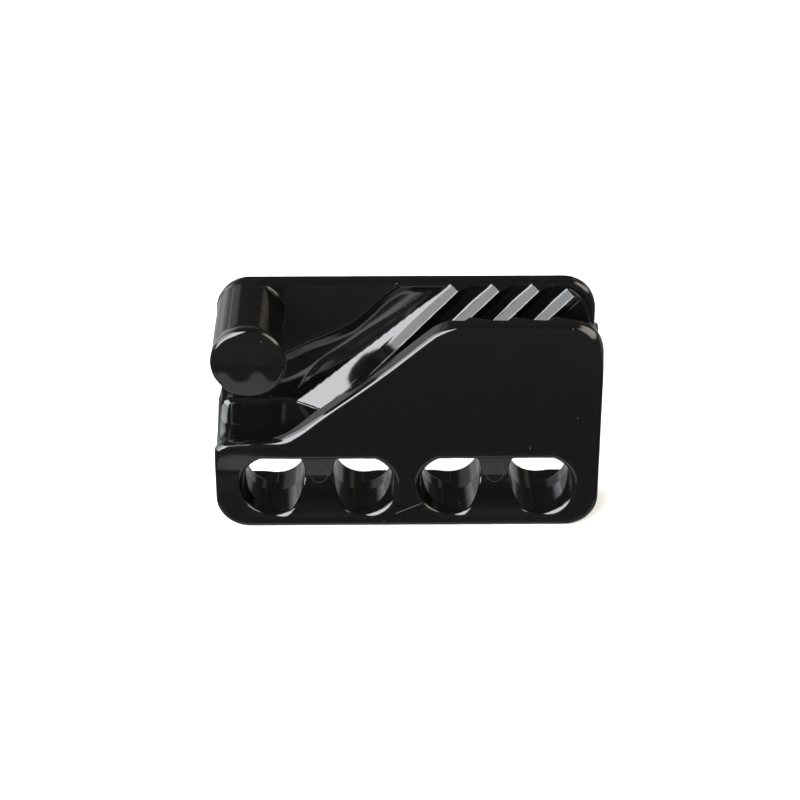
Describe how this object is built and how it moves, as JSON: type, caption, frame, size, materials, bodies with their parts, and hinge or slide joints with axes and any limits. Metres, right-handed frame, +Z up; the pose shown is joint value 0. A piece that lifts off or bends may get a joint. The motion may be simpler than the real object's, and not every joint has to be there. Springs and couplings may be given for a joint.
{
  "type": "rope cleat with horn",
  "caption": "Moulded boat cleat that jams a rope in a toothed V groove, with a round horn for extra turns and lashing holes along its base.",
  "frame": {"origin": "middle of the footprint, on the bottom face", "axes": "+X along the cleat towards the rope's tail, -Y out of the front where the horn's head points, +Z up"},
  "size_m": [0.081, 0.027, 0.0523],
  "materials": {
    "black_nylon": "glossy, as moulded"
  },
  "bodies": {
    "root": {"lower_rail": "black_nylon", "end_post_left": "black_nylon", "web_left": "black_nylon", "centre_post": "black_nylon", "web_right": "black_nylon", "end_post_right": "black_nylon", "lead_in_saddle": "black_nylon", "front_cheek": "black_nylon", "back_plate": "black_nylon", "groove_bed": "black_nylon", "rear_jaw": "black_nylon", "rear_tooth_1": "black_nylon", "rear_tooth_2": "black_nylon", "rear_tooth_3": "black_nylon", "rear_tooth_4": "black_nylon", "front_tooth_1": "black_nylon", "front_tooth_2": "black_nylon", "front_tooth_3": "black_nylon", "front_tooth_4": "black_nylon", "horn_post": "black_nylon", "horn_head": "black_nylon"}
  },
  "joints": []
}
